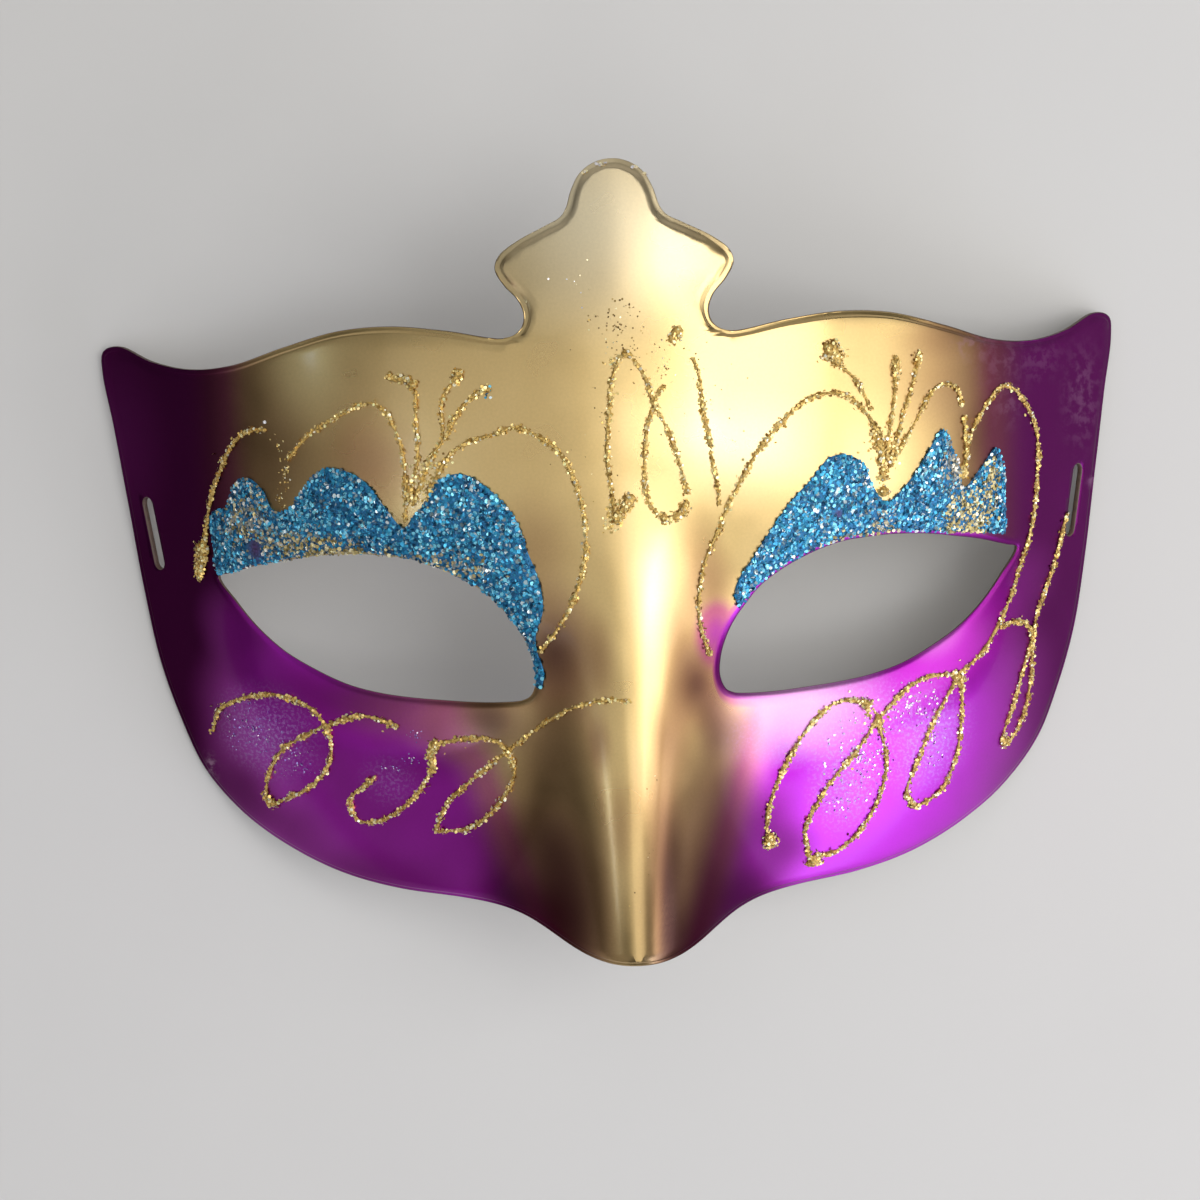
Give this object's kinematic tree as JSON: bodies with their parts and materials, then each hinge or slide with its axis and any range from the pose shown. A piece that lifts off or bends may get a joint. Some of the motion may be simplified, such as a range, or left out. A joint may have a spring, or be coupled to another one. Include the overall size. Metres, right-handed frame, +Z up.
{
  "type": "masquerade eye mask",
  "caption": "Half mask of formed plastic with a crown peak, wing tips, almond eye holes and strap slots, sprayed gold and purple, with blue glitter panels and raised gold glitter scrolls.",
  "frame": {"origin": "middle of the bounding box, on the surface that the mask lies on", "axes": "+X across the mask, to the right as seen from the front, +Y towards the crown, +Z up, out of the face"},
  "size_m": [0.1616, 0.1164, 0.0462],
  "materials": {
    "shell_coat": "satin metallic spray on plastic, gold in the middle, purple on cheeks and wings",
    "blue_glitter": "coat of fine blue glitter flakes",
    "gold_glitter": "raised line of gold glitter glue"
  },
  "bodies": {
    "root": {"mask_shell": "shell_coat", "glitter_panel_left": "blue_glitter", "glitter_panel_right": "blue_glitter", "temple_curl_left": "gold_glitter", "brow_scroll_left": "gold_glitter", "cheek_scroll_left": "gold_glitter", "centre_scroll": "gold_glitter", "bridge_dot": "gold_glitter", "bridge_line": "gold_glitter", "scroll_right": "gold_glitter"}
  },
  "joints": []
}
